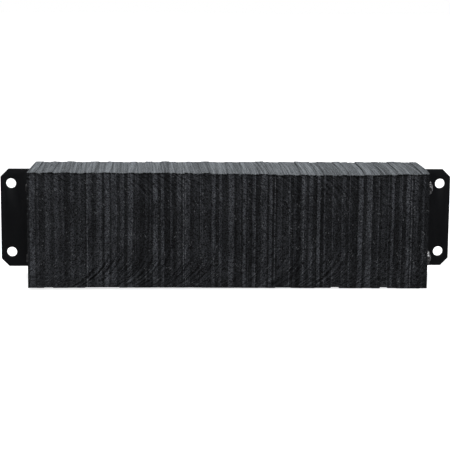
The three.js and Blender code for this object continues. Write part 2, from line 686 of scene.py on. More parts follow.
@dataclass(frozen=True)
class RubberRelief:
    """How high or deep each mark stands in the rubber."""

    coarse: float = 0.5
    fine: float = 0.3
    arcs: float = 0.6
    rake: float = 0.6
    band: float = 0.25
    raised: float = 0.5
    depth: float = 0.7 * MM

    def read(self, graph: Graph, found: Texture, marks: Marks, upward: Wire) -> Wire:
        """Bend the surface's direction.

        Args:
            graph: The rubber's graph.
            found: The rubber's texture.
            marks: The tools' marks.
            upward: 1 where the surface faces up.

        Returns:
            The bent direction.
        """
        crumbs = found.coarse * self.coarse + found.fine * self.fine - found.pits
        tooled = marks.arcs * self.arcs + marks.rake * upward * self.rake
        scores = marks.raised * self.raised - marks.scored
        return graph.bump(crumbs + tooled + scores - found.band * self.band, self.depth)


@dataclass(frozen=True)
class RimShade:
    """Painted shade: dark spots along the upper front rim, standing in for the shadow in its chips."""

    shade_spots: Mottle = Mottle(260.0, 1.0, 0.5, (0.49, 0.54))
    climb: Pair = (0.25, 0.75)
    stretch: float = 0.5
    # how far the painted shade darkens the colour
    dark: float = 0.85

    def light(self, graph: Graph, spot: Spot, rim: Wire) -> Wire:
        """The factor for the colour at a point, from its nearness to the rim: the painted shade."""
        drawn = graph.joined(spot.x, spot.y * self.stretch, spot.z * self.stretch)
        return 1.0 - rim.rise(*self.climb) * self.shade_spots.read(graph, drawn) * self.dark


@dataclass(frozen=True)
class SawnRubber:
    """Tyre rubber with fabric bands, sawn on its edges, dusty on top and painted lighter there for the light
    from above, with painted shade along the upper front rim.
    """

    rubber: Colour = (0.0127, 0.0135, 0.015)
    fabric: Colour = (0.0326, 0.0343, 0.0385)
    fleck: Colour = (0.16, 0.165, 0.175)
    fleck_cover: float = 0.9
    grain: Grain = Grain()
    bands: FabricBands = FabricBands()
    saw: SawMarks = SawMarks()
    sawn: SawnLight = SawnLight()
    top: DustAndTopLight = DustAndTopLight()
    side: UncutSide = UncutSide()
    # painted shade along the upper front rim
    rim: RimShade = RimShade()
    relief: RubberRelief = RubberRelief()
    side_climb: Pair = (0.5, 0.85)
    top_climb: Pair = (0.35, 0.8)
    gloss: float = 0.05
    roughness: float = 0.66
    fine_rough: float = 0.14
    dust_rough: float = 0.15
    roughest: float = 0.95

    def material(self) -> bpy.types.Material:
        """Write the rubber's nodes.

        Returns:
            The material.
        """
        made, graph = new_material("sawn_rubber")
        place = graph.place()
        spot = Spot(place, *graph.parts(place))
        out_x, out_y, out_z = graph.parts(graph.facing())
        across = out_x.size().rise(*self.side_climb)
        upright = out_y.size().rise(*self.side_climb)
        upward = out_z.rise(*self.top_climb)
        level, tint, rim = graph.parts(graph.kept("batch"))

        sweep = self.saw.sweep(spot)
        swept = self.grain.swept(graph, spot, sweep)
        band, thread = self.bands.read(graph, spot)
        found = Texture(
            coarse=self.grain.coarse.read(graph, swept),
            fine=self.grain.fine.read(graph, place),
            patch=self.grain.patches.read(graph, place),
            pits=self.grain.pits(graph, spot),
            band=band,
            level=level,
            tint=tint,
        )
        scored, raised = self.saw.scores(graph, spot, sweep)
        marks = Marks(
            arcs=self.saw.arcs(graph, spot, sweep) * upright,
            scored=scored * upright,
            raised=raised * upright,
            rake=self.top.marks(graph, spot),
        )
        body = graph.blend(band, graph.shaded(self.rubber, level), self.fabric)
        flecks = self.grain.flecks(graph, spot, swept, thread) * self.fleck_cover
        sawn = graph.blend(flecks, graph.shaded(body, self.sawn.read(found, marks, spot.z)), self.fleck)
        plain = self.side.colour(graph, found, place, self.rubber, self.top.dust_and_top_light)
        # faces that look up get the dust colour, painted lighter as well for the light from above
        upper = self.top.colour(graph, found, marks.rake)
        colour = graph.blend(upward, graph.blend(across, sawn, plain), upper)
        rough = self.roughness + found.fine * self.fine_rough + upward * self.dust_rough
        graph.coat(
            {
                # painted shade: darker spots along the upper front rim
                "Base Color": graph.shaded(colour, self.rim.light(graph, spot, rim)),
                "Roughness": rough.least(self.roughest),
                "Specular IOR Level": self.gloss,
                "Normal": self.relief.read(graph, found, marks, upward),
            }
        )
        return made


@dataclass(frozen=True)
class BlackPaint:
    """Smooth black paint on rolled steel, with a little dust on what faces up."""

    name: str = "black_paint"
    base: Colour = (0.0042, 0.0046, 0.0063)
    worn: Colour = (0.02, 0.02, 0.021)
    roughness: float = 0.42
    gloss: float = 0.28
    skin: Mottle = Mottle(520.0, 2.0)
    rolled: Mottle = Mottle(30.0, 3.0, 0.6)
    scuffs: Mottle = Mottle(85.0, 4.0, 0.75, (0.62, 0.8))
    scuffing: float = 0.35
    tone_least: float = 0.8
    tone_gain: float = 0.4
    rolled_rough: float = 0.2
    scuff_rough: float = 0.15
    skin_relief: float = 0.6
    dust_climb: Pair = (0.3, 0.9)
    dusting: float = 0.6
    peel: float = 0.05 * MM

    def material(self) -> bpy.types.Material:
        """Write the paint's nodes.

        Returns:
            The material.
        """
        made, graph = new_material(self.name)
        place = graph.place()
        _, _, out_z = graph.parts(graph.facing())
        skin = self.skin.read(graph, place)
        rolled = self.rolled.read(graph, place)
        scuff = self.scuffs.read(graph, place)
        dusty = out_z.rise(*self.dust_climb) * self.dusting
        colour = graph.blend((scuff * self.scuffing + dusty).least(1.0), self.base, self.worn)
        graph.coat(
            {
                "Base Color": graph.shaded(colour, self.tone_least + rolled * self.tone_gain),
                "Roughness": self.roughness + (rolled - 0.5) * self.rolled_rough + scuff * self.scuff_rough,
                "Specular IOR Level": self.gloss,
                "Normal": graph.bump(skin * self.skin_relief + rolled, self.peel),
            }
        )
        return made


@dataclass(frozen=True)
class DarkSteel:
    """Stained steel with fine turning lines round the rod's axis, painted over at the welded end."""

    name: str = "dark_steel"
    base: Colour = (0.46, 0.465, 0.475)
    dull: Colour = (0.022, 0.022, 0.024)
    paint: Colour = (0.0046, 0.0049, 0.0064)
    painted_until: float = -0.458
    paint_edge: float = 1.0 * MM
    roughness: float = 0.16
    stains: Mottle = Mottle(130.0, 2.0, 0.55, (0.45, 0.56))
    cloudy: Mottle = Mottle(160.0, 4.0, 0.65)
    staining: Pair = (0.85, 0.15)
    metal: float = 0.95
    stain_metal: float = 0.25
    cloudy_rough: float = 0.14
    paint_rough: float = 0.16
    turning_scale: float = 2600.0
    turning_detail: float = 1.0
    turned_relief: float = 0.4
    relief: float = 0.06 * MM

    def material(self) -> bpy.types.Material:
        """Write the steel's nodes.

        Returns:
            The material.
        """
        made, graph = new_material(self.name)
        place = graph.place()
        x, _, _ = graph.parts(place)
        cloudy = self.cloudy.read(graph, place)
        turned = graph.lines(x, self.turning_scale, self.turning_detail)
        stain = self.stains.read(graph, place)
        bare = x.rise(self.painted_until - self.paint_edge, self.painted_until)
        dulled = stain * self.staining[0] + cloudy * self.staining[1]
        graph.coat(
            {
                "Base Color": graph.blend(bare, self.paint, graph.blend(dulled, self.base, self.dull)),
                "Metallic": (self.metal - stain * self.stain_metal) * bare,
                "Roughness": self.roughness + cloudy * self.cloudy_rough + (1.0 - bare) * self.paint_rough,
                "Normal": graph.bump(turned * self.turned_relief + cloudy, self.relief),
            }
        )
        return made


@dataclass(frozen=True)
class StudioFloor:
    """A plain pale studio floor."""

    tone: Colour = (0.86, 0.865, 0.87)
    glow: float = 0.85
    mottle: Mottle = Mottle(3.0, 2.0)
    tone_least: float = 0.99
    tone_gain: float = 0.02
    roughness: float = 0.9

    def material(self) -> bpy.types.Material:
        """Write the floor's nodes.

        Returns:
            The material.
        """
        made, graph = new_material("studio_floor")
        mottle = self.mottle.read(graph, graph.place())
        graph.coat(
            {
                "Base Color": graph.shaded(self.tone, self.tone_least + mottle * self.tone_gain),
                "Roughness": self.roughness,
                "Specular IOR Level": 0.0,
                "Emission Color": self.tone,
                "Emission Strength": self.glow,
            }
        )
        return made


# ---------------------------------------------------------------- mesh helpers


class Shell:
    """The points and faces of one closed piece, gathered before Blender gets them."""

    def __init__(self) -> None:
        """Start with nothing."""
        self.points: list[Point] = []
        self.faces: list[tuple[int, ...]] = []

    def ring(self, points: Iterable[Sequence[float]]) -> list[int]:
        """Add points.

        Args:
            points: The points, in order.

        Returns:
            Their numbers.
        """
        start = len(self.points)
        self.points.extend(tuple(point) for point in points)
        return list(range(start, len(self.points)))

    def bridge(self, first: Sequence[int], second: Sequence[int]) -> None:
        """Join two closed rings of the same length with four-sided faces.

        Args:
            first: One ring.
            second: The next ring.
        """
        count = len(first)
        for here in range(count):
            after = (here + 1) % count
            self.faces.append((first[here], first[after], second[after], second[here]))

    def fan(self, ring: Sequence[int], middle: Sequence[float], flip: bool) -> None:
        """Close a ring with triangles to one point.

        Args:
            ring: The ring to close.
            middle: The point.
            flip: Whether the faces turn the other way round.
        """
        (tip,) = self.ring([middle])
        for here, number in enumerate(ring):
            after = ring[(here + 1) % len(ring)]
            self.faces.append((after, number, tip) if flip else (number, after, tip))

    def plate(self, loops: Sequence[Sequence[int]], axis: int) -> None:
        """Fill a flat outline that has holes.

        Args:
            loops: The outer ring, then the holes.
            axis: The axis that the flat face looks along.
        """
        across = [number for number in range(3) if number != axis]
        flat = [
            [Vector((self.points[n][across[0]], self.points[n][across[1]], 0.0)) for n in loop]
            for loop in loops
        ]
        numbers = [number for loop in loops for number in loop]
        for triangle in tessellate_polygon(flat):
            self.faces.append(tuple(numbers[corner] for corner in triangle))

    def piece(self, name: str, crease: float = 35.0) -> bpy.types.Object:
        """Make the Blender object, with its faces turned outwards.

        Args:
            name: The object's name.
            crease: Edges sharper than this many degrees stay sharp.

        Returns:
            The object, in the scene.
        """
        mesh = bpy.data.meshes.new(name)
        mesh.from_pydata(self.points, [], self.faces)
        return settle(mesh, name, crease)


def settle(mesh: bpy.types.Mesh, name: str, crease: float) -> bpy.types.Object:
    """Turn a mesh's faces outwards, smooth it and put it in the scene.

    Args:
        mesh: The mesh.
        name: The object's name.
        crease: Edges sharper than this many degrees stay sharp.

    Returns:
        The object.
    """
    turn_outwards(mesh)
    mesh.shade_smooth()
    mesh.set_sharp_from_angle(angle=math.radians(crease))
    made = bpy.data.objects.new(name, mesh)
    bpy.context.scene.collection.objects.link(made)
    return made


def turn_outwards(mesh: bpy.types.Mesh) -> None:
    """Make every face of a closed mesh look outwards."""
    work = bmesh.new()
    work.from_mesh(mesh)
    bmesh.ops.recalc_face_normals(work, faces=work.faces)
    work.to_mesh(mesh)
    work.free()


def spread(low: float, high: float, step: float) -> list[float]:
    """Even steps from one value to another.

    Args:
        low: The first value.
        high: The last value.
        step: The longest step.

    Returns:
        The values, both ends with them.
    """
    count = max(1, math.ceil((high - low) / step))
    return [low + (high - low) * number / count for number in range(count + 1)]


def dress(made: bpy.types.Object, material: bpy.types.Material, slot: str, *nodes: str) -> None:
    """Give a piece its material, hang it on the root body and hide the nodes that it stands for.

    Args:
        made: The piece.
        material: Its material.
        slot: The record's material slot; not used.
        *nodes: The nodes that it replaces.
    """
    made.data.materials.clear()
    made.data.materials.append(material)
    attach(made, ROOT_BODY)
    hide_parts(*nodes)
    log.info("%s: %d faces, stands for %s", made.name, len(made.data.polygons), ", ".join(nodes))


# ---------------------------------------------------------------- rubber pads


class Edge(Enum):
    """The four edges of a pad, in the order that its outline runs."""

    FRONT = "front"
    TOP = "top"
    BACK = "back"
    BOTTOM = "bottom"


class RimPoint(NamedTuple):
    """A point of a pad's outline, with the way out of the rubber there."""

    y: float
    z: float
    out_y: float
    out_z: float
    edge: Edge


class Band(NamedTuple):
    """A fabric band across a pad's thickness, measured from the pad's low face."""

    start: float
    end: float
    tone: float


@dataclass(frozen=True)
class CutHabits:
    """How far the pads differ from each other: shares of a pad's width, and sizes.

    The first pads come from paler rubber, and the last ones were trimmed more roughly along the bottom.
    """

    seed: int = 41
    paler: int = 16
    darker: float = 0.86
    fresh: float = 1.15
    ragged_from: int = 34
    ragged_gain: float = 2.8
    ply_width: Pair = (0.26, 0.66)
    ply_start: Pair = (0.04, 0.3)
    ply_tones: tuple[float, ...] = (0.25, 0.5, 0.75, 1.0, 1.25)
    thread_width: Pair = (0.8 * MM, 2.6 * MM)
    thread_place: Pair = (0.05, 0.95)
    thread_tones: tuple[float, ...] = (0.0, 0.7, 1.2, 1.7)
    notched: float = 0.3
    level: Pair = (0.65, 1.2)
    proud: float = 0.15 * MM
    lean: float = 0.6 * MM
    lifts: tuple[float, ...] = (0.0, 0.0, 0.2 * MM, 0.9 * MM)
    ease: Pair = (0.05 * MM, 0.3 * MM)
    front_chip: Pair = (0.8 * MM, 4.5 * MM)
    back_chip: Pair = (4.0 * MM, 7.5 * MM)
    back_wear: float = 0.6 * MM
    apart: float = 3.7

    def cut(self, number: int, width: float) -> "PadCut":
        """Choose how one pad came out.

        Args:
            number: The pad's place in the stack.
            width: Its thickness.

        Returns:
            The pad's own shape and bands.
        """
        rng = random.Random(self.seed * 1000 + number)
        pale = number < self.paler
        wide = rng.uniform(*self.ply_width) * width
        start = rng.uniform(*self.ply_start) * width
        tone = rng.choice(self.ply_tones) * (self.fresh if pale else 1.0)
        thin = rng.uniform(*self.thread_width)
        away = rng.uniform(*self.thread_place) * width
        thread = Band(away - thin / 2, away + thin / 2, rng.choice(self.thread_tones))
        notched = rng.random() < self.notched
        return PadCut(
            ply=Band(start, start + wide, tone),
            thread=thread,
            level=rng.uniform(*self.level) * (1.0 if pale else self.darker),
            tint=rng.random(),
            proud=rng.gauss(0.0, self.proud),
            lean=rng.gauss(0.0, self.lean),
            lift=rng.choice(self.lifts) * (1.0 if number < self.ragged_from else self.ragged_gain),
            ease=(rng.uniform(*self.ease), rng.uniform(*self.ease)),
            chip=(rng.uniform(*self.front_chip), rng.uniform(*self.back_chip) if notched else self.back_wear),
            seed=number * self.apart,
        )


@dataclass(frozen=True)
class PadCut:
    """How one pad came out of the saw."""

    ply: Band
    thread: Band
    level: float
    tint: float
    proud: float
    lean: float
    lift: float
    ease: Pair
    chip: Pair
    seed: float


@dataclass
class PadStack:
    """The rubber block: pads side by side, each with fabric bands and ragged sawn edges."""

    finish: SawnRubber = field(default_factory=SawnRubber)
    habits: CutHabits = field(default_factory=CutHabits)
    rim_step: float = 2.8 * MM
    across_step: float = 1.7 * MM
    corner: float = 0.7 * MM
    corner_steps: int = 3
    lip: float = 0.45 * MM
    seat: float = 0.13 * MM
    joint_wave: float = 0.35 * MM
    joint_scale: Point = (16.0, 11.0, 3.1)
    rough: float = 0.16 * MM
    rough_scale: float = 130.0
    ragged: float = 0.35 * MM
    ragged_scale: Pair = (70.0, 45.0)
    tear_scale: float = 190.0
    tear_bias: float = 0.2
    back_reach: float = 10.0 * MM
    crown: float = 2.3 * MM
    sag: float = 6.8 * MM
    sag_least: float = 0.2
    sag_middle: float = 0.25
    sag_spread: float = 0.25
    sag_reach: float = 75.0 * MM
    dip: float = 4.1 * MM
    dip_start: float = -0.15
    dip_end: float = 0.457
    rim_reach: float = 7.0 * MM
    bore_clearance: float = 0.8 * MM
    bore_facets: int = 24

    def build(self) -> list[bpy.types.Object]:
        """Make every pad.

        Returns:
            The pads, in order along the stack.
        """
        rubber = self.finish.material()
        names = sorted(name for name in frame["nodes"] if name.startswith("pad_"))
        bores = [self._bore(row) for row in NUT_TURNS]
        made = []
        for number, name in enumerate(names):
            low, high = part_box(name)
            ends = (number == 0, number == len(names) - 1)
            low.x -= 0.0 if ends[0] else self.seat
            high.x += 0.0 if ends[1] else self.seat
            cut = self.habits.cut(number, high.x - low.x)
            shell, kept = self._pad(low, high, cut, number, ends, bores)
            piece = shell.piece(f"rubber_{name}")
            self._keep_bands(piece.data, kept, cut)
            dress(piece, rubber, "pad_rubber", name)
            made.append(piece)
        return made

    def _bore(self, row: str) -> Point:
        """Where a rod passes through the pads.

        Args:
            row: The rod's row.

        Returns:
            The bore's Y, Z and radius.
        """
        low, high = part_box(f"tie_rod_{row}")
        middle = (low + high) / 2
        return middle.y, middle.z, (high.z - low.z) / 2 + self.bore_clearance

    def _rim(self, low: Vector, high: Vector) -> list[RimPoint]:
        """A pad's outline in the YZ plane.

        Args:
            low: The pad's lowest corner.
            high: Its highest corner.

        Returns:
            The outline's points, from the lower front corner up the front and round.
        """
        corners = [(low.y, low.z), (low.y, high.z), (high.y, high.z), (high.y, low.z)]
        rim = []
        for number, edge in enumerate(Edge):
            (y0, z0), (y1, z1) = corners[number], corners[(number + 1) % 4]
            long = math.hypot(y1 - y0, z1 - z0)
            along = ((y1 - y0) / long, (z1 - z0) / long)
            out = (-along[1], along[0])
            for far in spread(self.corner, long - self.corner, self.rim_step):
                rim.append(RimPoint(y0 + along[0] * far, z0 + along[1] * far, *out, edge))
            rim += self._rounding((y1, z1), along, out, edge)
        return rim

    def _rounding(self, corner: Pair, along: Pair, out: Pair, edge: Edge) -> list[RimPoint]:
        """The points that round off the corner at the end of an edge.

        Args:
            corner: The sharp corner.
            along: The way the edge runs.
            out: The way out of the rubber on the edge.
            edge: The edge.

        Returns:
            The points between this edge's last one and the next edge's first one.
        """
        middle = [corner[n] - self.corner * (along[n] + out[n]) for n in (0, 1)]
        found = []
        for step in range(1, self.corner_steps):
            turn = QUARTER * step / self.corner_steps
            way = [out[n] * math.cos(turn) + along[n] * math.sin(turn) for n in (0, 1)]
            y, z = (middle[n] + self.corner * way[n] for n in (0, 1))
            found.append(RimPoint(y, z, way[0], way[1], edge))
        return found

    def _columns(self, width: float) -> list[float]:
        """Places across a pad's thickness, close together beside its two faces."""
        return [0.0, *spread(self.lip, width - self.lip, self.across_step), width]

    def _joint(self, number: int, y: float, z: float) -> float:
        """How far the joint before a pad strays along the stack at a point of it."""
        deep, tall, apart = self.joint_scale
        return self.joint_wave * noise.noise(Vector((y * deep, z * tall, number * apart)))

    def _pad(
        self,
        low: Vector,
        high: Vector,
        cut: PadCut,
        number: int,
        ends: tuple[bool, bool],
        bores: Sequence[Point],
    ) -> tuple[Shell, list[Pair]]:
        """Shape one pad.

        Args:
            low: The pad's lowest corner.
            high: Its highest corner.
            cut: Its own shape.
            number: Its place in the stack.
            ends: Whether it is the first and the last pad.
            bores: The Y, Z and radius of each hole.

        Returns:
            The shell, and for each of its points how far across the pad it lies and how near the upper
            front rim.
        """
        shell = Shell()
        rim = self._rim(low, high)
        columns = self._columns(high.x - low.x)
        stray = [
            (
                0.0 if ends[0] else self._joint(number, point.y, point.z),
                0.0 if ends[1] else self._joint(number + 1, point.y, point.z),
            )
            for point in rim
        ]
        kept: list[Pair] = []
        rings = []
        for column, across in enumerate(columns):
            share = across / columns[-1]
            outer = column in (0, len(columns) - 1)
            points = []
            for point, (before, after) in zip(rim, stray):
                x = low.x + across + before * (1 - share) + after * share
                inset = self._inset(point, x, share, cut, outer, low, high)
                y, z = point.y - point.out_y * inset, point.z - point.out_z * inset
                points.append((x, y, z + self._trim(x, y, z, cut.lift, low, high)))
            rings.append(shell.ring(points))
            kept += [(across, self._near_rim(point, low, high)) for point in rim]
        for first, second in zip(rings, rings[1:]):
            shell.bridge(first, second)
        loops = ([rings[0]], [rings[-1]])
        for y, z, radius in bores:
            mouths = [shell.ring(self._circle(x, y, z, radius)) for x in (low.x, high.x)]
            kept += [(0.0, 0.0)] * self.bore_facets + [(columns[-1], 0.0)] * self.bore_facets
            shell.bridge(*mouths)
            loops[0].append(mouths[0])
            loops[1].append(mouths[1])
        for side in loops:
            shell.plate(side, 0)
        return shell, kept

    def _circle(self, x: float, y: float, z: float, radius: float) -> list[Point]:
        """The points of a bore's mouth."""
        turns = [FULL_TURN * step / self.bore_facets for step in range(self.bore_facets)]
        return [(x, y + radius * math.cos(turn), z + radius * math.sin(turn)) for turn in turns]

    def _inset(
        self,
        point: RimPoint,
        x: float,
        share: float,
        cut: PadCut,
        outer: bool,
        low: Vector,
        high: Vector,
    ) -> float:
        """How far the real edge lies inside the pad's box at a point.

        Args:
            point: The outline's point.
            x: Its place along the stack.
            share: Its place across the pad, from 0 to 1.
            cut: The pad's own shape.
            outer: Whether it lies on the rim of one of the pad's faces.
            low: The pad's lowest corner.
            high: The pad's highest corner.

        Returns:
            The distance inwards.
        """
        scale = self.rough_scale
        spot = Vector((x * scale + cut.seed, point.y * scale, point.z * scale))
        inset = self.rough * noise.noise(spot)
        if point.edge is Edge.TOP:
            along, deep = self.ragged_scale
            ragged = noise.noise(Vector((x * along, point.y * deep, cut.seed)))
            inset += self.ragged * ragged + cut.lean * (share - 0.5)
        elif point.edge is not Edge.BOTTOM:
            inset -= cut.proud
        if outer:
            inset += cut.ease[0] if share < 0.5 else cut.ease[1]
        tear = max(0.0, self.tear_bias + noise.noise(Vector((x * self.tear_scale, cut.seed, 0.0))))
        front = self._near_rim(point, low, high)
        back = max(0.0, 1 - math.hypot(high.z - point.z, high.y - point.y) / self.back_reach)
        return inset + cut.chip[0] * tear * front + cut.chip[1] * tear * back * abs(share - 0.5) * 2

    def _near_rim(self, point: RimPoint, low: Vector, high: Vector) -> float:
        """How near a point lies to the pad's upper front rim: 1 on it, 0 when it is out of reach."""
        return max(0.0, 1 - math.hypot(high.z - point.z, point.y - low.y) / self.rim_reach)

    def _trim(self, x: float, y: float, z: float, lift: float, low: Vector, high: Vector) -> float:
        """How far the block's uneven trimming moves a point of the outline up.

        The top stands a little proud and sags at the front, most of all on the right of the middle; the lower
        edge dips towards the right end, and single pads end short of it.

        Args:
            x: The point's place along the stack.
            y: Its depth.
            z: Its height.
            lift: How far this pad's lower edge ends short.
            low: The pad's lowest corner.
            high: The pad's highest corner.

        Returns:
            The move, upwards.
        """
        middle = (low.z + high.z) / 2
        share = (z - middle) / (high.z - middle)
        if share < 0:
            sunk = max(0.0, (x - self.dip_start) / (self.dip_end - self.dip_start))
            return share * (self.dip * sunk - lift)
        hollow = math.exp(-(((x - self.sag_middle) / self.sag_spread) ** 2))
        along = self.sag_least + (1 - self.sag_least) * hollow
        forward = max(0.0, 1 - (y - low.y) / self.sag_reach) ** 2
        return share * (self.crown - self.sag * along * forward)

    @staticmethod
    def _keep_bands(mesh: bpy.types.Mesh, kept: Sequence[Pair], cut: PadCut) -> None:
        """Store each point's distance from the bands' edges and from the rim, for the rubber's finish; the
        nearness to the rim places the painted rim shade.

        Args:
            mesh: The pad's mesh.
            kept: How far across the pad each point lies, and how near the rim.
            cut: The pad's own bands.
        """
        for name, band in (("ply", cut.ply), ("thread", cut.thread)):
            values = [(far - band.start, band.end - far, band.tone) for far, _ in kept]
            PadStack._keep(mesh, name, values)
        PadStack._keep(mesh, "batch", [(cut.level, cut.tint, near) for _, near in kept])

    @staticmethod
    def _keep(mesh: bpy.types.Mesh, name: str, values: Sequence[Sequence[float]]) -> None:
        """Store one vector at each of a mesh's points."""
        kept = mesh.attributes.new(name, "FLOAT_VECTOR", "POINT")
        kept.data.foreach_set("vector", [number for value in values for number in value])


# ---------------------------------------------------------------- steel angles


class End(Enum):
    """Which end of the stack a piece closes; the value is the way it faces along X."""

    LEFT = -1
    RIGHT = 1


@dataclass
class SteelAngle:
    """A rolled angle: one leg against the end pad, the other on the wall with two bolt holes."""

    end: End
    paint: bpy.types.Material
    thickness: float = 6.35 * MM
    root: float = 6.0 * MM
    toe: float = 3.0 * MM
    corner_cut: float = 19.0 * MM
    bolt_radius: float = 11.9 * MM
    rod_clearance: float = 0.8 * MM
    break_width: float = 0.5 * MM
    break_angle: float = 35.0
    break_segments: int = 2
    crease: float = 28.0
    arc_steps: int = 7
    hole_facets: int = 72

    @property
    def node(self) -> str:
        """The node that the angle stands for."""
        return f"angle_{self.end.name.lower()}"

    def build(self) -> bpy.types.Object:
        """Make the angle.

        Returns:
            The piece.
        """
        low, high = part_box(self.node)
        near, far = sorted((abs(low.x), abs(high.x)))
        blank = self._blank(near, far, low, high)
        cutters = [self._bolt_cutter(opening) for opening in self._openings()]
        cutters += [self._rod_cutter(row, near) for row in NUT_TURNS]
        mesh = self._carve(blank, cutters)
        mesh.transform(Matrix.Diagonal((self.end.value, 1, 1, 1)))
        made = settle(mesh, f"steel_{self.node}", self.crease)
        dress(made, self.paint, "black_paint", self.node)
        return made

    def _openings(self) -> list[Vector]:
        """The middles of this angle's bolt holes, on the high X side."""
        found = []
        for opening in frame["record"]["physics"]["openings"]:
            low, high = (Vector(corner) for corner in opening["box_m"])
            middle = (low + high) / 2
            if middle.x * self.end.value > 0:
                found.append(Vector((abs(middle.x), 0.0, middle.z)))
        return found

    def _section(self, near: float, far: float, deep: float) -> list[Pair]:
        """The angle's outline seen from above.

        Args:
            near: The side leg's face against the pad.
            far: The wall leg's tip.
            deep: The side leg's edge, a negative Y.

        Returns:
            X and Y of its points, in order.
        """
        face = near + self.thickness
        front = -self.thickness
        outline = [(near, 0.0), (near, deep)]
        outline += self._arc(face - self.toe, deep + self.toe, self.toe, -90, 0)
        outline += self._arc(face + self.root, front - self.root, self.root, 180, 90)
        outline += self._arc(far - self.toe, front + self.toe, self.toe, -90, 0)
        outline.append((far, 0.0))
        return outline

    def _arc(self, x: float, y: float, radius: float, start: float, stop: float) -> list[Pair]:
        """Points along a round corner.

        Args:
            x: The arc's middle.
            y: The arc's middle.
            radius: Its radius.
            start: Its first direction, in degrees.
            stop: Its last direction.

        Returns:
            The points, both ends with them.
        """
        turns = [math.radians(start + (stop - start) * n / self.arc_steps) for n in range(self.arc_steps + 1)]
        return [(x + radius * math.cos(turn), y + radius * math.sin(turn)) for turn in turns]

    def _blank(self, near: float, far: float, low: Vector, high: Vector) -> bpy.types.Mesh:
        """The rolled bar with its two outer corners cut off.

        Args:
            near: The side leg's face against the pad.
            far: The wall leg's tip.
            low: The angle's lowest corner.
            high: Its highest corner.

        Returns:
            The mesh.
        """
        shell = Shell()
        outline = self._section(near, far, low.y)
        rings = [shell.ring((x, y, z) for x, y in outline) for z in (low.z, high.z)]
        shell.bridge(*rings)
        shell.faces += [tuple(rings[0]), tuple(rings[1])]
        mesh = bpy.data.meshes.new(self.node)
        mesh.from_pydata(shell.points, [], shell.faces)
        turn_outwards(mesh)
        work = bmesh.new()
        work.from_mesh(mesh)
        for way, height in ((1, high.z), (-1, low.z)):
            spot = Vector((far - self.corner_cut / 2, 0.0, height - way * self.corner_cut / 2))
            everything = [*work.verts, *work.edges, *work.faces]
            cut = bmesh.ops.bisect_plane(
                work, geom=everything, plane_co=spot, plane_no=Vector((1, 0, way)), clear_outer=True
            )
            edges = [item for item in cut["geom_cut"] if isinstance(item, bmesh.types.BMEdge)]
            bmesh.ops.contextual_create(work, geom=edges)
        work.to_mesh(mesh)
        work.free()
        return mesh

    def _rod_cutter(self, row: str, near: float) -> bpy.types.Object:
        """A bar through the side leg where a rod passes.

        Args:
            row: The rod's row.
            near: The side leg's face against the pad.

        Returns:
            The cutter.
        """
        low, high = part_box(f"tie_rod_{row}")
        middle = (low + high) / 2
        spot = Vector((near + self.thickness / 2, middle.y, middle.z))
        return self._bar(spot, (high.z - low.z) / 2 + self.rod_clearance, 0)

    def _bolt_cutter(self, middle: Vector) -> bpy.types.Object:
        """A bar through the wall leg where a bolt goes."""
        return self._bar(Vector((middle.x, -self.thickness / 2, middle.z)), self.bolt_radius, 1)

    def _bar(self, spot: Vector, radius: float, axis: int) -> bpy.types.Object:
        """A round bar that is longer than the steel is thick.

        Args:
            spot: Its middle.
            radius: Its radius.
            axis: The axis that it lies along.

        Returns:
            The bar, as an object for cutting.
        """
        shell = Shell()
        others = [n for n in range(3) if n != axis]
        rings = []
        for way in (-1, 1):
            points = []
            for step in range(self.hole_facets):
                turn = FULL_TURN * step / self.hole_facets
                point = list(spot)
                point[axis] += way * self.thickness
                point[others[0]] += radius * math.cos(turn)
                point[others[1]] += radius * math.sin(turn)
                points.append(point)
            rings.append(shell.ring(points))
        shell.bridge(*rings)
        shell.faces += [tuple(rings[0]), tuple(rings[1])]
        return shell.piece("cutter")

    def _carve(self, blank: bpy.types.Mesh, cutters: Sequence[bpy.types.Object]) -> bpy.types.Mesh:
        """Cut the holes and take the sharpness off every edge.

        Args:
            blank: The bar.
            cutters: What to take away; they are removed afterwards.

        Returns:
            The finished mesh.
        """
        work = bpy.data.objects.new("blank", blank)
        bpy.context.scene.collection.objects.link(work)
        for number, cutter in enumerate(cutters):
            cut = work.modifiers.new(f"hole_{number}", "BOOLEAN")
            cut.object = cutter
            cut.operation = "DIFFERENCE"
            cut.solver = "EXACT"
        ease = work.modifiers.new("ease", "BEVEL")
        ease.width = self.break_width
        ease.segments = self.break_segments
        ease.limit_method = "ANGLE"
        ease.angle_limit = math.radians(self.break_angle)
        ready = work.evaluated_get(bpy.context.evaluated_depsgraph_get())
        mesh = bpy.data.meshes.new_from_object(ready)
        for spare in (work, *cutters):
            bpy.data.objects.remove(spare)
        return mesh


# ---------------------------------------------------------------- rods, nuts and welds


@dataclass(frozen=True)
class Thread:
    """A coarse screw thread about a rod's axis."""

    radius: float
    start: float
    pitch: float = 2.54 * MM
    depth: float = 1.5 * MM
    crest: float = 0.12

    def reach(self, x: float, turn: float) -> float:
        """The thread's radius at a place along it.

        Args:
            x: Place along the stack.
            turn: Angle round the axis.

        Returns:
            The distance from the axis.
        """
        phase = ((x - self.start) / self.pitch - turn / FULL_TURN) % 1.0
        groove = 1 - abs(2 * phase - 1)
        sunk = min(1.0, max(0.0, (groove - self.crest) / (1 - 2 * self.crest)))
        return self.radius - self.depth * sunk


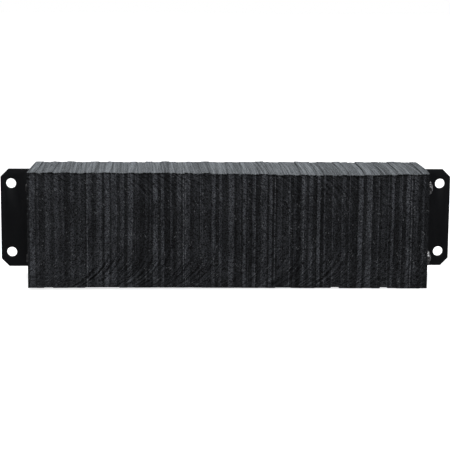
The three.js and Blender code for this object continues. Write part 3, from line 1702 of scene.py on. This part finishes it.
@dataclass
class TieRod:
    """One rod with the weld at its left end and the nut at its right end."""

    row: str
    steel: bpy.types.Material
    weld_paint: bpy.types.Material
    facets: int = 48
    threaded: float = 48.0 * MM
    thread_step: float = 2.54 * MM / 8
    chamfer: float = 1.2 * MM
    crown: Pair = (0.3 * MM, 0.2 * MM)
    rod_crease: float = 40.0
    play: float = 0.15 * MM
    flank: float = 30.0
    nut_turn: float = 20.0
    nut_seat: float = 0.985
    nut_skirt: float = 1.15
    nut_crease: float = 25.0
    bead_ripples: int = 26
    bead_facets: int = 8
    bead_steps: int = 14
    bead_seat: float = 0.2 * MM
    bead_size: float = 0.86
    bead_ripple: float = 0.07
    bead_even: float = 0.6
    bead_twist: float = 2.2
    bead_lump: float = 0.09
    bead_swell: float = 0.154
    bead_crease: float = 50.0
    lump_scale: float = 3.0
    lump_layer: float = 4.0
    middle: Vector = field(init=False)
    radius: float = field(init=False)
    ends: Pair = field(init=False)
    thread: Thread = field(init=False)

    def __post_init__(self) -> None:
        """Take the rod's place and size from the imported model."""
        low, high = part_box(f"tie_rod_{self.row}")
        self.middle = (low + high) / 2
        self.radius = (high.z - low.z) / 2
        self.ends = (low.x, high.x)
        self.thread = Thread(self.radius, high.x - self.threaded)

    def build(self) -> list[bpy.types.Object]:
        """Make the rod, its nut and its weld.

        Returns:
            The three pieces.
        """
        return [self._rod(), self._nut(), self._weld()]

    def _around(self, x: float, reach: Callable[[float], float], count: int) -> list[Point]:
        """A ring of points round the rod's axis.

        Args:
            x: Place along the stack.
            reach: The distance from the axis for an angle.
            count: How many points.

        Returns:
            The points.
        """
        turns = [FULL_TURN * step / count for step in range(count)]
        return [
            (
                x,
                self.middle.y + reach(turn) * math.cos(turn),
                self.middle.z + reach(turn) * math.sin(turn),
            )
            for turn in turns
        ]

    def _rod(self) -> bpy.types.Object:
        """The rod: plain for most of its length, threaded at its right end.

        Returns:
            The piece.
        """
        start, end = self.ends
        shell = Shell()
        plain = [
            (start, self.radius - self.chamfer),
            (start + self.chamfer, self.radius),
            (self.thread.start - self.thread.pitch, self.radius),
        ]
        rings = [shell.ring(self._around(x, lambda _, r=r: r, self.facets)) for x, r in plain]
        for x in spread(self.thread.start, end, self.thread_step):
            most = self.radius - self.chamfer * max(0.0, 1 - (end - x) / self.chamfer)
            fade = min(1.0, (x - self.thread.start) / (2 * self.thread.pitch))
            reach = self._threaded(x, most, fade)
            rings.append(shell.ring(self._around(x, reach, self.facets)))
        for first, second in zip(rings, rings[1:]):
            shell.bridge(first, second)
        shell.fan(rings[0], (start - self.crown[0], self.middle.y, self.middle.z), True)
        shell.fan(rings[-1], (end + self.crown[1], self.middle.y, self.middle.z), False)
        made = shell.piece(f"rod_{self.row}", self.rod_crease)
        dress(made, self.steel, "rod_steel", f"tie_rod_{self.row}")
        return made

    def _threaded(self, x: float, most: float, fade: float) -> Callable[[float], float]:
        """The thread's section at a place along the rod.

        Args:
            x: Place along the stack.
            most: The largest radius there.
            fade: How deep the thread is there, from 0 to 1.

        Returns:
            The radius for an angle.
        """

        def reach(turn: float) -> float:
            """The radius at one angle."""
            full = self.thread.reach(x, turn)
            return min(most, self.radius + (full - self.radius) * fade)

        return reach

    def _nut(self) -> bpy.types.Object:
        """The hexagon nut, with rounded-off corners at both ends and a threaded bore.

        Returns:
            The piece.
        """
        node = f"nut_{self.row}"
        low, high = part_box(node)
        flat = (high.y - low.y) / 2
        slope = math.tan(math.radians(self.flank))
        count = self.facets * 2

        def hexagon(turn: float) -> float:
            """The distance from the axis to the nut's flats."""
            sixth = math.pi / 3
            return flat / math.cos((turn - math.radians(self.nut_turn) + sixth / 2) % sixth - sixth / 2)

        def skirt(inward: float) -> Callable[[float], float]:
            """The nut's section at a depth below one of its ends."""
            return lambda turn: min(hexagon(turn), flat * self.nut_seat + inward / slope)

        shell = Shell()
        corner = (flat / math.cos(math.pi / 6) - flat) * slope
        depths = spread(0.0, corner * self.nut_skirt, corner / 4)
        outer = [(low.x + depth, skirt(depth)) for depth in depths]
        outer += [(high.x - depth, skirt(depth)) for depth in reversed(depths)]
        rings = [shell.ring(self._around(x, reach, count)) for x, reach in outer]
        inner = []
        for x in reversed(spread(low.x, high.x, self.thread_step)):
            inner.append(shell.ring(self._around(x, self._nut_bore(x, low.x, high.x), count)))
        loop = rings + inner
        for first, second in zip(loop, loop[1:] + loop[:1]):
            shell.bridge(first, second)
        made = shell.piece(f"hexagon_{node}", self.nut_crease)
        dress(made, self.steel, "nut_steel", node)
        return made

    def _nut_bore(self, x: float, near: float, far: float) -> Callable[[float], float]:
        """The nut's bore at a place along it, opened out at both mouths.

        Args:
            x: Place along the stack.
            near: The nut's seat.
            far: The nut's outer end.

        Returns:
            The radius for an angle.
        """
        mouth = max(0.0, self.chamfer - min(x - near, far - x))
        least = self.radius - self.thread.depth + mouth
        return lambda turn: max(self.thread.reach(x, turn) + self.play, least)

    def _weld(self) -> bpy.types.Object:
        """The weld bead: a ring with the ripples of its passes.

        Returns:
            The piece.
        """
        node = f"weld_{self.row}"
        low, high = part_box(node)
        leg = high.x - low.x
        face = high.x + self.bead_seat
        inner = self.radius - self.bead_seat
        count = self.bead_ripples * self.bead_facets
        shell = Shell()
        rings = []
        for step in range(self.bead_steps + 1):
            share = step / self.bead_steps
            swell = self.bead_swell * math.sin(math.pi * share)
            ring = []
            for number in range(count):
                turn = FULL_TURN * number / count
                size = leg * self._bead_size(turn, share)
                radius = inner + size * (share + swell)
                ring.append(
                    (
                        face - size * (1 - share + swell),
                        self.middle.y + radius * math.cos(turn),
                        self.middle.z + radius * math.sin(turn),
                    )
                )
            rings.append(shell.ring(ring))
        rings.append(shell.ring(self._around(face, lambda _: inner, count)))
        for first, second in zip(rings, rings[1:] + rings[:1]):
            shell.bridge(first, second)
        made = shell.piece(f"bead_{node}", self.bead_crease)
        dress(made, self.weld_paint, "weld_paint", node)
        return made

    def _bead_size(self, turn: float, share: float) -> float:
        """How large the weld is at a point of it.

        Args:
            turn: Angle round the rod's axis.
            share: Place on the bead's curve, 0 on the rod and 1 on the angle.

        Returns:
            The size, as a share of the weld's leg.
        """
        ripple = abs(math.sin(turn * self.bead_ripples / 2 + share * self.bead_twist)) - self.bead_even
        along, across = math.cos(turn) * self.lump_scale, math.sin(turn) * self.lump_scale
        lump = noise.noise(Vector((along, across, self.lump_layer)))
        rounded = math.sin(math.pi * share) ** 0.5
        return self.bead_size + (self.bead_ripple * ripple + self.bead_lump * lump) * rounded


# ---------------------------------------------------------------- studio


@dataclass(frozen=True)
class SoftLight:
    """One soft light, aimed at the middle of the object's back."""

    name: str
    place: Point
    size: Pair
    power: float

    def hang(self) -> None:
        """Hang the light."""
        lamp = bpy.data.lights.new(self.name, "AREA")
        lamp.shape = "RECTANGLE"
        lamp.size, lamp.size_y = self.size
        lamp.energy = self.power
        made = bpy.data.objects.new(self.name, lamp)
        made.location = self.place
        made.rotation_euler = Vector(self.place).to_track_quat("Z", "Y").to_euler()
        bpy.context.scene.collection.objects.link(made)


@dataclass
class Studio:
    """The pale floor, the soft lights and the camera."""

    lights: tuple[SoftLight, ...] = (
        SoftLight("soft_top", (0.0, 0.15, 1.5), (2.4, 1.2), 22.0),
        SoftLight("soft_front", (0.1, -2.6, 1.7), (1.6, 1.6), 15.0),
    )
    dim: float = 0.08
    from_back: float = 0.5
    from_above: float = 0.3
    back_climb: Pair = (-0.1, 0.8)
    above_climb: Pair = (0.1, 0.9)
    floor_side: float = 60.0
    camera_place: Point = (-0.1025, -2.5382, 0.539)
    camera_turn: float = 2.178
    camera_dip: float = 6.66
    camera_roll: float = 0.431
    camera_lens: float = 85.59
    camera_shift: float = -0.24

    def build(self) -> None:
        """Set up everything around the object."""
        self._floor()
        self._surroundings()
        for light in self.lights:
            light.hang()
        self._camera()
        bpy.context.scene.view_settings.view_transform = "Standard"

    def _floor(self) -> None:
        """Lay the floor under the object's lowest point."""
        low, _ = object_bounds()
        half = self.floor_side / 2
        shell = Shell()
        corners = ((-half, -half), (half, -half), (half, half), (-half, half))
        ring = shell.ring((x, y, low.z) for x, y in corners)
        shell.faces.append(tuple(ring))
        mesh = bpy.data.meshes.new("floor")
        mesh.from_pydata(shell.points, [], shell.faces)
        mesh.materials.append(StudioFloor().material())
        floor = bpy.data.objects.new("floor", mesh)
        bpy.context.scene.collection.objects.link(floor)
        floor.visible_glossy = False
        floor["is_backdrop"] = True

    def _surroundings(self) -> None:
        """White seen directly; as light, bright behind and above the object and dim in front of it."""
        world = bpy.data.worlds.new("studio")
        world.use_nodes = True
        bpy.context.scene.world = world
        graph = Graph(world.node_tree)
        way = graph.wire("ShaderNodeTexCoord", {}, {}, "Generated")
        _, back, up = graph.parts(way)
        behind = self.from_back * back.rise(*self.back_climb)
        above = self.from_above * up.rise(*self.above_climb)
        strength = self.dim + behind + above
        soft = graph.node("ShaderNodeBackground", {}, {0: (1.0, 1.0, 1.0), 1: strength})
        white = graph.node("ShaderNodeBackground", {}, {0: (1.0, 1.0, 1.0), 1: 1.0})
        seen = graph.wire("ShaderNodeLightPath", {}, {}, "Is Camera Ray")
        mixed = graph.node("ShaderNodeMixShader", {}, {0: seen, 1: soft.outputs[0], 2: white.outputs[0]})
        graph.node("ShaderNodeOutputWorld", {}, {"Surface": mixed.outputs[0]})

    def _camera(self) -> None:
        """Place the camera in front of the object, a little above it."""
        lens = bpy.data.cameras.new("camera")
        lens.lens = self.camera_lens
        lens.shift_y = self.camera_shift
        made = bpy.data.objects.new("camera", lens)
        level = Euler((math.radians(90 - self.camera_dip), 0.0, math.radians(-self.camera_turn)))
        roll = Matrix.Rotation(math.radians(self.camera_roll), 4, "Z")
        made.matrix_world = Matrix.Translation(self.camera_place) @ level.to_matrix().to_4x4() @ roll
        bpy.context.scene.collection.objects.link(made)
        bpy.context.scene.camera = made


# ---------------------------------------------------------------- the whole object


def main() -> None:
    """Build the bumper and its surroundings, piece by piece."""
    logging.basicConfig(level=logging.INFO, format="%(message)s")
    pads = PadStack().build()
    log.info("%d pads", len(pads))
    paint = BlackPaint().material()
    for end in End:
        SteelAngle(end, paint).build()
    steel = DarkSteel().material()
    weld_paint = BlackPaint(name="weld_paint", roughness=0.5, peel=0.12 * MM).material()
    for row, nut_turn in NUT_TURNS.items():
        TieRod(row, steel, weld_paint, nut_turn=nut_turn).build()
    Studio().build()


if __name__ == "__main__":
    main()
